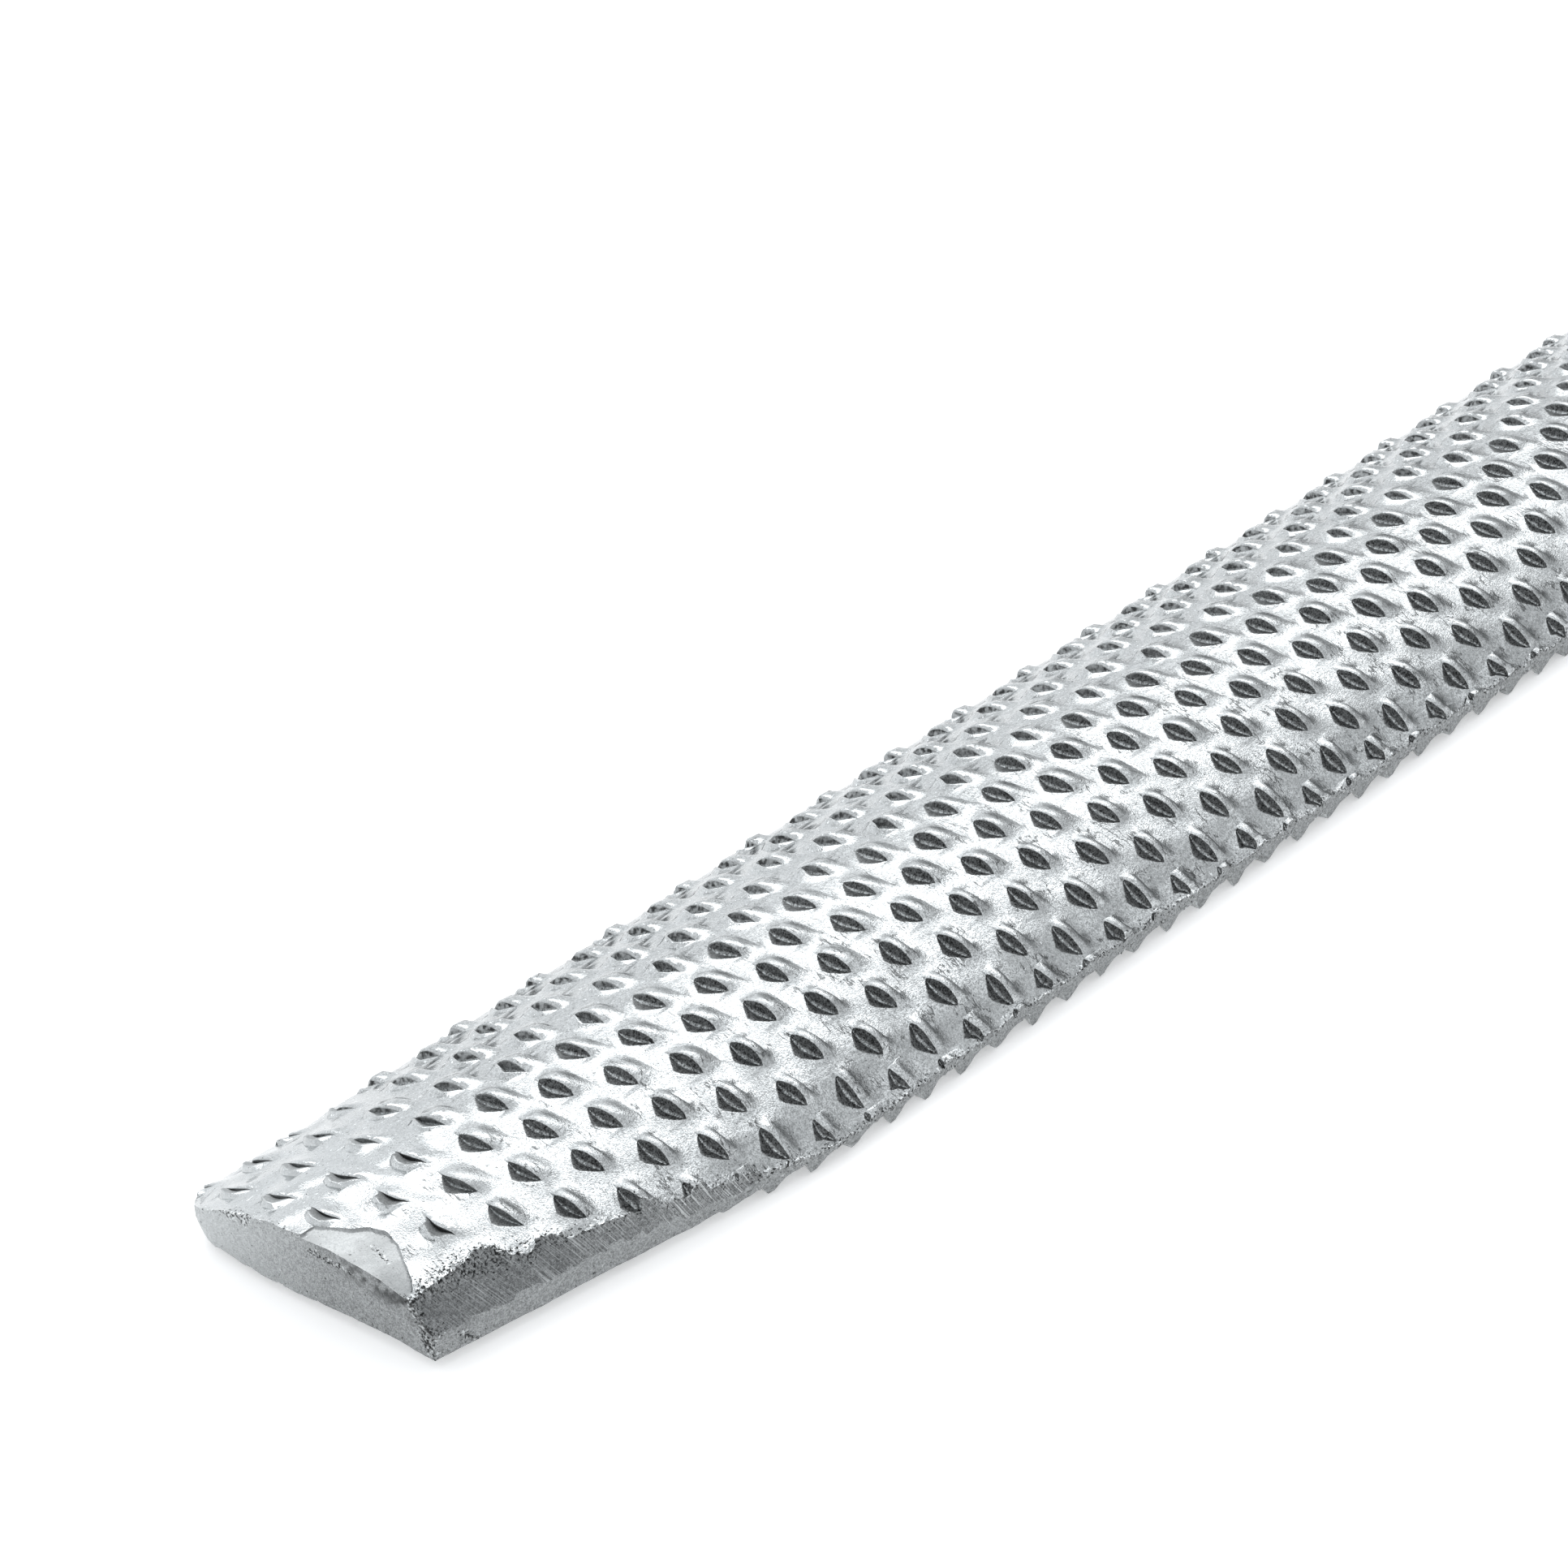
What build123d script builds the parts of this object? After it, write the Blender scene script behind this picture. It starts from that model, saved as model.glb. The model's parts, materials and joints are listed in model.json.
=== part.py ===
from build123d import *
import os
from math import asin, cos, pi, radians, sin, tan

# Half-round cabinet rasp, forged and punched in one piece of steel.
# X runs from the point to the end of the tang, Y across the blade, Z up.
# While it is drawn, the point is at x = 0 and the flat face at z = 0, with its teeth below.
# The finished rasp has its origin in the middle of its length, on the surface it lies on.
# All sizes are in millimetres and degrees.

# Blade
blade_length = 200.0
blade_width = 22.8
crown_height = 4.8
point_crown_height = 4.3
thinning_length = 60.0
edge_height = 1.2
bare_heel_length = 13.0

# Point: cut a little out of square, far corner rounded, near edge ground back
point_skew_angle = 5.7
point_corner_radius = 3.0
ground_length = 27.0
ground_depth = 3.9
ground_lean_angle = 25.0

# Teeth of the half-round face, with one row on the crown line
tooth_pitch = 6.0
row_step = 1.75
first_tooth = -0.8
row_lead = -0.1
tooth_width = 2.4
tooth_height = 0.65
pit_depth = 0.4
lip_points = 3

# Teeth of the flat face, with its rows to either side of the middle
flat_tooth_pitch = 5.9
flat_row_step = 1.25
flat_first_tooth = -1.4
flat_tooth_width = 2.0
flat_tooth_height = 0.65
flat_pit_depth = 0.35
flat_lip_points = 1

# Shape of every tooth, and its wear near the point
pit_reach = 0.25
lip_lean = 0.1
worn_length = 12.0
worn_share = 0.5

# Tang
tang_length = 60.0
shoulder_length = 9.0
tang_root_width = 10.5
tang_end_width = 4.0
tang_root_height = 3.6
tang_end_height = 2.2
tang_lift = 0.8
tang_edge_break = 0.5

# Stock around the blank, which the grinding of its edges takes off
stock = 2.5

half_width = blade_width / 2
toothed_length = blade_length - bare_heel_length
border = half_width + stock


def crown_at(x):
    """Height of the crown over the flat face: the blade thins toward its point."""
    share = min(max(x / thinning_length, 0), 1)
    return point_crown_height + (crown_height - point_crown_height) * sin(share * pi / 2)


def crown_radius(x):
    """Radius of the half-round face."""
    rise = crown_at(x) - edge_height
    return (half_width**2 + rise**2) / (2 * rise)


def half_arc(x):
    """Length of the arc from the crown line to the edge."""
    radius = crown_radius(x)
    return radius * asin(half_width / radius)


def on_round_face(x, s, lift):
    """Point at arc length s from the crown line. Past the edge the stock runs out level."""
    overhang = abs(s) - half_arc(x)
    if overhang > 0:
        side = 1 if s > 0 else -1
        return x, side * (half_width + overhang), edge_height + lift
    radius = crown_radius(x)
    angle = s / radius
    return x, (radius + lift) * sin(angle), crown_at(x) - radius + (radius + lift) * cos(angle)


def on_flat_face(x, s, lift):
    """Point at s from the middle of the flat face, which looks down."""
    return x, s, -lift


def wear_at(x):
    """Share of a tooth's height that is left: the teeth near the point are worn."""
    share = min(max(x / worn_length, 0), 1)
    return worn_share + (1 - worn_share) * share


class ToothedFace:
    """One face of the blank as a skin of triangles.

    The teeth stand in rows along the blade. Each row is half a pitch behind its neighbours,
    so every half pitch there is a station across the face with a tooth in each second row.
    Between two stations lie the backs of the first one's teeth and the pits of the next one's.
    """

    def __init__(self, place, border_z, reach, pitch, step, shift, first, lead, width, height, depth, points):
        self.place = place
        self.border_z = border_z
        self.width = width
        self.height = height
        self.depth = depth
        self.points = points
        self.triangles = []
        count = int((reach + stock / 4) / step + shift)
        self.rows = [(row, (row + shift) * step) for row in range(-count, count + 1)]
        self.rows = [(row, s) for row, s in self.rows if abs(s) <= reach + stock / 4]
        self.half_pitch = pitch / 2
        self.first = first
        self.lead = lead
        last = int((toothed_length - first - lip_lean) / self.half_pitch) - 1
        stations = [self.bare_station(-1, -2 * stock)]
        stations += [self.station(m) for m in range(last + 1)]
        stations += [self.bare_station(last + 1, toothed_length)]
        for m in range(last + 2):
            self.fill_strip(stations[m], stations[m + 1], m > 0, m <= last)
        lines = [self.line(station) for station in stations]
        self.near_side = [line[0] for line in lines]
        self.far_side = [line[-1] for line in lines]
        self.front_end = lines[0]
        self.back_end = lines[-1]

    def station(self, m):
        """Where the teeth of station m stand: x of the station, then x and s of each tooth."""
        x = self.first + m * self.half_pitch
        return x, [(x + self.lead * row, s) for row, s in self.rows if (row + m) % 2 == 0]

    def bare_station(self, m, x):
        """A station in one plane, where the skin is closed off without teeth."""
        return x, [(x, s) for row, s in self.rows if (row + m) % 2 == 0]

    def lip_ends(self, tooth):
        x, s = tooth
        return self.place(x, s - self.width / 2, 0), self.place(x, s + self.width / 2, 0)

    def line(self, station):
        """Points across the face at this station: its border, the ends of each lip, its border."""
        x, teeth = station
        ends = [end for tooth in teeth for end in self.lip_ends(tooth)]
        return [(x, -border, self.border_z)] + ends + [(x, border, self.border_z)]

    def lip(self, tooth):
        """The lip's arch, from one end over its raised points to the other."""
        x, s = tooth
        right, left = self.lip_ends(tooth)
        tall = self.height * wear_at(x)
        angles = [pi * (n + 1) / (self.points + 1) for n in range(self.points)]
        arch = [
            self.place(x + lip_lean * sin(a), s - self.width / 2 * cos(a), tall * sin(a))
            for a in angles
        ]
        return [right] + arch + [left]

    def fill_strip(self, here, ahead, teeth_here, teeth_ahead):
        """Triangles between two stations."""
        line_here = self.line(here)
        line_ahead = self.line(ahead)
        add = self.triangles.append
        near_wide = here[1][0][1] < ahead[1][0][1]
        far_wide = here[1][-1][1] > ahead[1][-1][1]
        add((line_here[0], line_here[1] if near_wide else line_ahead[1], line_ahead[0]))
        add((line_here[-1], line_ahead[-1], line_here[-2] if far_wide else line_ahead[-2]))
        for tooth in here[1]:
            gap = sum(other[1] < tooth[1] for other in ahead[1])
            right, left = line_ahead[2 * gap], line_ahead[2 * gap + 1]
            if teeth_here:
                self.fill_back(self.lip(tooth), right, left)
            else:
                add((*self.lip_ends(tooth), left))
                add((self.lip_ends(tooth)[0], left, right))
        for tooth in ahead[1]:
            gap = sum(other[1] < tooth[1] for other in here[1])
            right, left = line_here[2 * gap], line_here[2 * gap + 1]
            if teeth_ahead:
                self.fill_pit(tooth, right, left)
            else:
                add((right, left, self.lip_ends(tooth)[1]))
                add((right, *self.lip_ends(tooth)[::-1]))

    def fill_back(self, lip, right, left):
        """The tooth's back, from its lip down to the next station."""
        middle = (self.points + 1) // 2
        for n in range(self.points + 1):
            self.triangles.append((lip[n], lip[n + 1], right if n < middle else left))
        self.triangles.append((lip[middle], left, right))

    def fill_pit(self, tooth, right, left):
        """The pit that the punch left, and the cutting face from its bottom up to the lip."""
        x, s = tooth
        lip = self.lip(tooth)
        bottom = self.place(x - pit_reach, s, -self.depth * wear_at(x))
        self.triangles.append((right, left, bottom))
        self.triangles.append((left, lip[-1], bottom))
        self.triangles.append((lip[0], right, bottom))
        for n in range(self.points + 1):
            self.triangles.append((lip[n + 1], lip[n], bottom))


def polygon(points):
    return Face(Wire.make_polygon([Vector(*point) for point in points], close=True))


def punched_blank():
    """The blank with its teeth, still too wide and too long, and its section at the heel."""
    crown = ToothedFace(
        place=on_round_face, border_z=edge_height, reach=half_arc(blade_length),
        pitch=tooth_pitch, step=row_step, shift=0, first=first_tooth, lead=row_lead,
        width=tooth_width, height=tooth_height, depth=pit_depth, points=lip_points,
    )
    flat = ToothedFace(
        place=on_flat_face, border_z=0, reach=half_width,
        pitch=flat_tooth_pitch, step=flat_row_step, shift=0.5, first=flat_first_tooth, lead=0,
        width=flat_tooth_width, height=flat_tooth_height, depth=flat_pit_depth,
        points=flat_lip_points,
    )
    faces = [polygon(triangle) for triangle in crown.triangles + flat.triangles]
    faces.append(polygon(crown.near_side + flat.near_side[::-1]))
    faces.append(polygon(crown.far_side + flat.far_side[::-1]))
    faces.append(polygon(crown.front_end + flat.front_end[::-1]))
    heel_section = polygon(crown.back_end + flat.back_end[::-1])
    faces.append(heel_section)
    return Solid(Shell(faces)), heel_section


def blade_outline():
    """Plan of the blade, from the cut across its point to its last teeth."""
    slope = tan(radians(point_skew_angle))
    with BuildSketch() as plan:
        with BuildLine():
            Polyline(
                (-half_width * slope, half_width),
                ((half_width - ground_depth) * slope, ground_depth - half_width),
                (ground_length, -half_width),
                (toothed_length, -half_width),
                (toothed_length, half_width),
                close=True,
            )
        make_face()
        fillet(plan.vertices().sort_by(Axis.X)[0], point_corner_radius)
    return plan.sketch


def ground_off_stock():
    """What was ground off the near edge at the point, above its lower strip."""
    run = Vector(ground_length, -ground_depth, 0).normalized()
    inward = Vector(-run.Y, run.X, 0)
    lean = radians(ground_lean_angle)
    up = inward * sin(lean) + Vector(0, 0, cos(lean))
    foot = Vector(0, ground_depth - half_width, edge_height)
    facet = Plane(origin=foot, x_dir=run, z_dir=run.cross(up))
    reach = 4 * ground_length
    return facet * Box(reach, 2 * border, border, align=(Align.CENTER, Align.MIN, Align.MIN))


def heel_and_tang(heel_section):
    """The bare heel, drawn in at its shoulders and down to the tang."""
    root = blade_length + shoulder_length
    end = root + tang_length
    bar = extrude(heel_section, end - toothed_length, dir=(1, 0, 0))
    with BuildSketch() as plan:
        with BuildLine():
            for side in (1, -1):
                Line((toothed_length, side * half_width), (blade_length, side * half_width))
                Spline(
                    (blade_length, side * half_width),
                    (root, side * tang_root_width / 2),
                    tangents=((1, 0), (tang_length, side * (tang_end_width - tang_root_width) / 2)),
                )
                Line((root, side * tang_root_width / 2), (end, side * tang_end_width / 2))
            Line((toothed_length, half_width), (toothed_length, -half_width))
            Line((end, tang_end_width / 2), (end, -tang_end_width / 2))
        make_face()
    with BuildSketch(Plane.XZ) as side_view:
        with BuildLine():
            Polyline(
                (toothed_length, 0),
                (blade_length, 0),
                (root, tang_lift / 2),
                (end, tang_lift),
                (end, tang_lift + tang_end_height),
                (root, tang_lift / 2 + tang_root_height),
                (blade_length, crown_height),
                (toothed_length, crown_height),
                close=True,
            )
        make_face()
    heel = bar & extrude(plan.sketch, crown_height) & extrude(side_view.sketch, border, both=True)
    long_edges = heel.edges().filter_by(lambda edge: edge.center().X > root and edge.length > tang_length / 2)
    return chamfer(long_edges, tang_edge_break)


def cabinet_rasp():
    blank, heel_section = punched_blank()
    above = crown_height + tooth_height + stock
    below = flat_tooth_height + stock
    outline = Pos(0, 0, -below) * extrude(blade_outline(), below + above)
    blade = (blank & outline) - ground_off_stock()
    whole = blade + heel_and_tang(heel_section)
    box = whole.bounding_box()
    return Pos(-box.center().X, 0, -box.min.Z) * whole


os.makedirs("parts", exist_ok=True)
export_step(cabinet_rasp(), "parts/rasp.step")
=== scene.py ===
# %% [markdown]
# # A half-round cabinet rasp in Blender
#
# The rasp is one piece of steel. A forged bar, flat below and round above, is punched all over
# with single teeth, its edges are ground, and a plain heel runs into a tapered tang.
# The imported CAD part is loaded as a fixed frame, and this script models the finished look over
# it: one closed mesh with each tooth modelled, and steel made of nodes.

# %% Load the frame
import json
import math
import random

import bmesh
import bpy
import numpy as np
from mathutils import Matrix, Vector, noise
from mathutils.kdtree import KDTree

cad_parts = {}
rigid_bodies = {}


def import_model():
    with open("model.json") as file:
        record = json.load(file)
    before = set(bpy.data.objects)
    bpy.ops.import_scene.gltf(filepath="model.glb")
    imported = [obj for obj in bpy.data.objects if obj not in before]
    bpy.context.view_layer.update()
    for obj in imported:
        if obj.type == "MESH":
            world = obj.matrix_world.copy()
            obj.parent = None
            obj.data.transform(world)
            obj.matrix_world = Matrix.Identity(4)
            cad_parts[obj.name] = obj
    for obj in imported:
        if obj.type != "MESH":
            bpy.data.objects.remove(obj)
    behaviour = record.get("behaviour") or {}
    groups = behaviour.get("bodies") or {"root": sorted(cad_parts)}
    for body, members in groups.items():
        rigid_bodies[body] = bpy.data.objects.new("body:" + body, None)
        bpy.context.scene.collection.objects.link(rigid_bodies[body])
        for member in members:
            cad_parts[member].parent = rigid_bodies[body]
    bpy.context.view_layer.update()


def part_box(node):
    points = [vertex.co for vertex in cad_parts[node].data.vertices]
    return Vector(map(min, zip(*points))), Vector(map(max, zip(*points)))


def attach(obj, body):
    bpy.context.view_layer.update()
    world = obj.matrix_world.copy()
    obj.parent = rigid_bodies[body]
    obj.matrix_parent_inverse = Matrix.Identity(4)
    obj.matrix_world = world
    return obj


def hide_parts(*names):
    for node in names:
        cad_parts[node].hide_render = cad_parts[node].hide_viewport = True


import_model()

MM = 0.001
low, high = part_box("rasp")
print("rasp in the frame, mm:", [round(side / MM, 2) for side in high - low])

# %% [markdown]
# ## Camera
#
# The photograph looks down on the point from its near side with a long lens. Place, turn and
# lens were fitted to the rows of teeth. A camera looks along its own -Z with Y up, so its axes
# are the picture's right, up and backward directions.

# %% Set up the camera
picture_right = Vector((0.69061, -0.72168, -0.04724))
picture_up = Vector((0.42967, 0.35687, 0.82947))
backward = Vector((-0.58176, -0.59314, 0.55654))
camera_place = Vector((-0.256848, -0.161559, 0.166944))

lens = bpy.data.cameras.new("camera")
lens.sensor_width = 36.0
lens.lens = 113.64
lens.clip_start = 0.01
camera = bpy.data.objects.new("camera", lens)
bpy.context.scene.collection.objects.link(camera)
turn = Matrix((picture_right, picture_up, backward)).transposed()
camera.matrix_world = Matrix.Translation(camera_place) @ turn.to_4x4()
bpy.context.scene.camera = camera
print("camera stands", round(camera_place.length, 3), "m from the middle of the rasp")

# %% [markdown]
# ## Sizes of the blade
#
# The same driving sizes as the solid's. The blade is drawn with its point at x = 0 and its
# flat face at z = 0, and the teeth of the flat face hang below that.

# %% Sizes
blade_length = 200.0 * MM
toothed_length = 187.0 * MM
half_width = 11.4 * MM
crown_height = 4.8 * MM
point_crown_height = 4.3 * MM
thinning_length = 60.0 * MM
edge_height = 1.2 * MM
point_x = -134.088 * MM
flat_face_z = 0.65 * MM
blade_place = (point_x, 0, flat_face_z)


def crown_at(x):
    """Height of the crown over the flat face: the blade thins toward its point."""
    share = np.clip(np.asarray(x) / thinning_length, 0, 1)
    return point_crown_height + (crown_height - point_crown_height) * np.sin(share * np.pi / 2)


def crown_radius(x):
    """Radius of the round face across the blade."""
    rise = crown_at(x) - edge_height
    return (half_width**2 + rise**2) / (2 * rise)


print("radius of the round face, mm:", round(float(crown_radius(0.1)) / MM, 2))

# %% [markdown]
# ## Working in edit mode from a script
#
# Operators act on whatever is selected, so each step selects one object, opens it with all of
# its points selected, and picks by place when it means fewer.

# %% Selecting helpers
def only(*objects):
    """Selects these objects and nothing else."""
    if bpy.context.mode != "OBJECT":
        bpy.ops.object.mode_set(mode="OBJECT")
    bpy.ops.object.select_all(action="DESELECT")
    for item in objects:
        item.select_set(True)
    bpy.context.view_layer.objects.active = objects[0]
    return objects[0]


def edit(item):
    """Opens one object in edit mode with everything selected."""
    only(item)
    bpy.ops.object.mode_set(mode="EDIT")
    bpy.context.tool_settings.mesh_select_mode = (True, False, False)
    bpy.ops.mesh.select_all(action="SELECT")


def pick(item, chosen):
    """Selects the vertices for which chosen(vertex) is true."""
    mesh = bmesh.from_edit_mesh(item.data)
    bpy.ops.mesh.select_all(action="DESELECT")
    mesh.verts.ensure_lookup_table()
    for vertex in mesh.verts:
        vertex.select = bool(chosen(vertex))
    mesh.select_flush_mode()
    bmesh.update_edit_mesh(item.data)


def points_of(item, kind="co"):
    """The places of all vertices as one array, or their normals."""
    found = np.empty(len(item.data.vertices) * 3, np.float32)
    item.data.vertices.foreach_get(kind, found)
    return found.reshape(-1, 3).astype(float)


def set_points(item, points):
    item.data.vertices.foreach_set("co", points.astype(np.float32).ravel())
    item.data.update()


# %% [markdown]
# ## One tooth
#
# A three-sided punch digs a pit and pushes the steel up behind it into an arched lip with a
# thick, rounded back. The pit's tip lies to the near side, as the punch was held. Each tooth is
# modelled on a small grid that fills one place of the pattern. The grid's lines across the
# tooth are its rim, the pit's floor, the bottom crease, the cutting face, the crest and the
# back, and their points are moved one by one to their places.

# %% One place of the pattern
def tooth_tile(name, length, width, before, lines):
    """A grid length x width, its front `before` ahead of the lip, with its inner lines drawn.

    lines: for each line, the places (forward, across, height) of its points from the near side.
    """
    across, along = len(lines[0]) + 1, len(lines) + 1
    bpy.ops.mesh.primitive_grid_add(x_subdivisions=along, y_subdivisions=across, size=1)
    tile = bpy.context.object
    tile.name = name
    edit(tile)
    bpy.ops.transform.resize(value=(length, width, 1))
    bpy.ops.transform.translate(value=(length / 2 - before, 0, 0))
    for number, places in enumerate(lines, start=1):
        for row, place in enumerate(places, start=1):
            point = row * (along + 1) + number
            start = (number * length / along - before, (row / across - 0.5) * width, 0)
            pick(tile, lambda vertex: vertex.index == point)
            bpy.ops.transform.translate(value=Vector(place) - Vector(start))
    bpy.ops.object.mode_set(mode="OBJECT")
    print(name, "has", len(tile.data.polygons), "faces")
    return tile


# %% [markdown]
# ## The lines across a tooth
#
# From above, the pit's edge is a curve from one end of the lip over the tip to the other. The
# rim lies just outside it, the pit and the cutting face between it and the lip, and the back
# behind the lip. A few numbers for each line are easier to fit to the photograph than points.

# %% Lines from a few numbers
def mm(*values):
    return [value * MM for value in values]


def tooth_lines(half, spread, tip, lean, rim, face, behind, fall=1.3):
    """Lines of a tooth, each a list of (forward, across, height). Lengths are given in mm.

    half: half the width of the lip. spread: the points across it, as shares of that. tip: the
    pit's tip, forward and across. lean: how far the lip trails on its far side.
    rim: for each line, how far outside the pit's edge, its height, how much farther ahead on
    the far side. face: for each line from the pit's floor to the top of the cutting face, the
    share of the way to the pit's edge, how far it is moved, its height.
    behind: for each line down the back, its forward place, its height, how far its bulge
    reaches across, how far to the far side, and its power: 2 round, 1 a ridge. fall: how peaked.
    """
    half *= MM
    tip = mm(*tip)
    side = tip[1] / half

    def edge(share, way=1.0):
        """A place on the pit's edge, or `way` of the way to it."""
        inner = max(-1.0, min(1.0, share))
        reach = (1 - inner) / (1 - side) if inner > side else (1 + inner) / (1 + side)
        curved = reach ** (0.80 if inner > side else 0.74)
        return Vector((tip[0] * way * curved - lean * inner * half, share * half, 0))

    lines = []
    for numbers in rim:
        outward, height, farther = mm(*numbers)
        line = []
        for share in spread:
            ahead = edge(min(1.0, share + 0.02)) - edge(max(-1.0, share - 0.02))
            away = Vector((-ahead.y, ahead.x, 0)).normalized() if abs(share) < 1 else Vector()
            fading = max(0.0, 1 - abs(share) ** 6)
            raised = height * fading * (1 + 0.5 * share)
            moved = Vector((-farther * max(0.0, share - side) * fading, 0, raised))
            line.append(tuple(edge(share) + away * outward * fading + moved))
        lines.append(line)
    for way, *numbers in face:
        moved, height = mm(*numbers)
        arch = [max(0.0, 1 - abs(share) ** 2.2) for share in spread]
        lines.append([
            tuple(edge(share, way) + Vector((moved * high, 0, height * high)))
            for share, high in zip(spread, arch)
        ])
    for forward, height, wide, far, power in behind:
        forward, height = mm(forward, height)
        lines.append([
            (forward - lean * share * half, share * half,
             height * max(0.0, 1 - abs((share - far) / wide) ** power) ** fall)
            for share in spread
        ])
    return lines


# %% [markdown]
# ## Which steel is dark
#
# Two values travel with every tooth: `punched` marks the pit and the cutting face, raw steel
# that is also painted with shade, and `crease` the line where they meet, which gets a painted
# highlight. The tooth's two ends stay unmarked, so the dark steel ends there in a point.

# %% Mark a tooth
def mark(tile, lines, name, marked, edge):
    """Gives the tile a value of its own at some of its lines: line -> value."""
    values = tile.data.attributes.new(name, "FLOAT", "POINT")
    along, last = len(lines) + 2, len(lines[0])
    for index, item in enumerate(values.data):
        inside = edge < index // along < last + 1 - edge
        item.value = marked.get(index % along, 0.0) if inside else 0.0


# %% [markdown]
# ## Teeth of the crown and the near flank
#
# On the crown the crest is level for some 0.4 mm, which catches the light, and the back falls
# gently from it. Down the near flank it drops in a short steep back, so the crest has a bright
# edge and a shadow behind it. The flank's tooth is the crown's with only its back changed.

# %% Crown tooth and near tooth
tooth_pitch = 6.0 * MM
row_step = 1.75 * MM
before_lip = 1.45 * MM
even_spread = (-1.3, -1.0, -0.80, -0.54, -0.26, 0.05, 0.38, 0.68, 0.89, 1.0, 1.3)
# Marks of the lines painted dark: raw steel with painted shade over it
raw_and_shaded_lines = {3: 0.10, 4: 0.6, 5: 0.8, 6: 1.0}


def round_tooth(name, half, spread, shape, marks, crease=1.0, moved=0.0):
    """A tooth on its place of the round face, `moved` across it, with its raw steel marked."""
    lines = [
        [(forward, across + moved, height) for forward, across, height in line]
        for line in tooth_lines(half, spread, **shape)
    ]
    tile = tooth_tile(name, tooth_pitch / 2, 2 * row_step, before_lip, lines)
    mark(tile, lines, "punched", marks, 2)
    mark(tile, lines, "crease", {5: crease}, 2)
    return tile


crown_shape = dict(
    tip=(-1.10, -0.08), lean=0.12, fall=0.9,
    rim=((0.28, 0.0, 0.30), (0.07, 0.03, 0.0), (0.0, 0.03, 0.0)),
    face=((0.60, 0.0, -0.05), (0.0, -0.24, -0.08), (0.0, -0.02, 0.38)),
    behind=(
        (0.04, 0.50, 1.06, 0.02, 2), (0.11, 0.53, 1.10, 0.04, 2), (0.46, 0.51, 1.14, 0.02, 2),
        (0.94, 0.32, 1.20, -0.06, 1.8), (1.38, 0.02, 1.24, -0.16, 1.8),
    ),
)
near_shape = {**crown_shape, "behind": (
    (0.04, 0.53, 1.06, 0.02, 2), (0.11, 0.55, 1.10, 0.06, 2), (0.46, 0.52, 1.12, 0.10, 2),
    (0.68, 0.37, 1.16, 0.04, 2), (0.92, 0.06, 1.20, -0.20, 2),
)}
crown_tile = round_tooth("round_tooth", 1.15, even_spread, crown_shape, raw_and_shaded_lines)
near_tile = round_tooth("near_tooth", 1.15, even_spread, near_shape, raw_and_shaded_lines)

# %% [markdown]
# ## Teeth of the near edge
#
# The outermost teeth stand closer to the row inside them. They are moved within their places,
# with shorter pits, so no point of a pit comes near the border.

# %% Edge tooth
edge_shape = {
    **near_shape, "tip": (-0.98, -0.08), "rim": ((0.12, 0.0, 0.1), *crown_shape["rim"][1:]),
}
edge_spread = (-1.6, *even_spread[1:-1], 1.09)
edge_tile = round_tooth("edge_tooth", 1.15, edge_spread, edge_shape, raw_and_shaded_lines, moved=0.45 * MM)

# %% [markdown]
# ## Worn teeth and far teeth
#
# Next to the point the teeth are worn to small craters in soft swellings, and no crease is
# left in them. On the far flank the punch leaned: the pit is shorter behind a higher rim, and
# the back is longer and comes to a ridge, so its near end catches the light.

# %% Worn tooth and far tooth
worn_shape = dict(
    tip=(-0.54, -0.20), lean=0.12,
    rim=((0.74, -0.06, 0.0), (0.24, 0.42, 0.0), (0.0, 0.40, 0.0)),
    face=((0.6, 0.0, 0.04), (0.0, -0.14, -0.20), (0.0, 0.0, 0.26)),
    behind=(
        (0.06, 0.32, 1.2, 0.0, 2), (0.20, 0.40, 1.5, 0.0, 2), (0.45, 0.34, 1.8, 0.0, 1.3),
        (0.80, 0.16, 1.9, 0.0, 1.3), (1.20, 0.0, 1.9, 0.0, 2),
    ),
)
worn_spread = (-2.0, -1.45, -0.94, -0.65, -0.34, 0.0, 0.35, 0.70, 0.94, 1.45, 2.0)
worn_tile = round_tooth(
    "worn_tooth", 0.76, worn_spread, worn_shape,
    {2: 0.09, 3: 0.34, 4: 0.6, 5: 0.8, 6: 0.9}, crease=0.0,
)
far_shape = dict(
    tip=(-0.72, -0.38), lean=0.12,
    rim=((0.44, -0.03, 0.15), (0.14, 0.21, 0.0), (0.0, 0.20, 0.0)),
    face=((0.62, 0.0, 0.02), (0.0, -0.20, -0.10), (0.0, -0.02, 0.36)),
    behind=(
        (0.05, 0.44, 1.12, 0.0, 2), (0.17, 0.50, 1.3, -0.04, 2), (0.48, 0.51, 1.45, -0.10, 1.2),
        (0.94, 0.47, 1.42, -0.14, 1.1), (1.34, 0.12, 1.42, -0.18, 1.1),
    ),
)
far_spread = (-1.45, -1.2, -0.96, -0.66, -0.34, 0.0, 0.36, 0.68, 0.92, 1.2, 1.5)
far_tile = round_tooth("far_tooth", 0.98, far_spread, far_shape, {**raw_and_shaded_lines, 3: 0.08})

# %% [markdown]
# ## Teeth of the flat face, and a bare place
#
# Of the flat face only the teeth along the near edge are seen: hooks with blunt, finger-like
# tips, higher than the others. Where the crown was hammered flat there are no teeth, so that
# place takes the crown's tile pressed level.

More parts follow.
